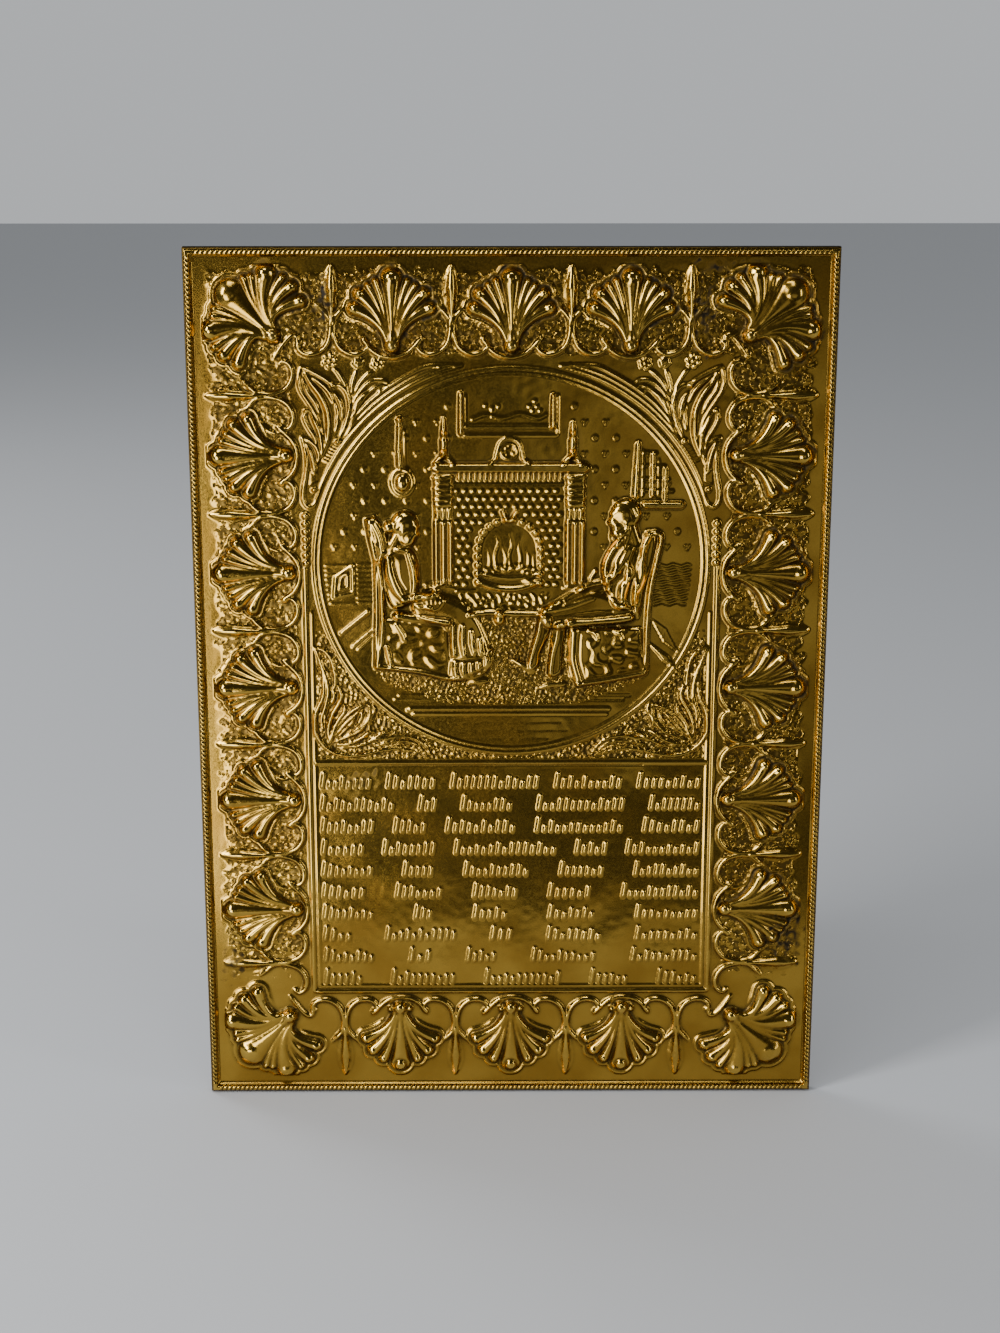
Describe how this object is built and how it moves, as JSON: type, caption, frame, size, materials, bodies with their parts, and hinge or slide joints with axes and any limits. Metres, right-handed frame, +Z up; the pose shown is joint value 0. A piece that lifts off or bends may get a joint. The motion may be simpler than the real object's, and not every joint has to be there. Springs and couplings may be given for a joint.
{
  "type": "decorative wall plaque",
  "caption": "Upright pressed brass wall plaque with a shell border, a round hearth scene above a panel of stroke rows, and a turned-back edge that lies on the wall.",
  "frame": {"origin": "middle of the turned-back flange's top side, on the face that lies on the wall", "axes": "+X to the viewer's right, +Y into the wall, +Z up the plaque; the relief faces -Y"},
  "size_m": [0.3, 0.0083, 0.418],
  "materials": {
    "brass": "pressed sheet with a soft worn sheen, dark tarnish in the hollows of the relief"
  },
  "bodies": {
    "root": {"plaque": "brass"}
  },
  "joints": []
}
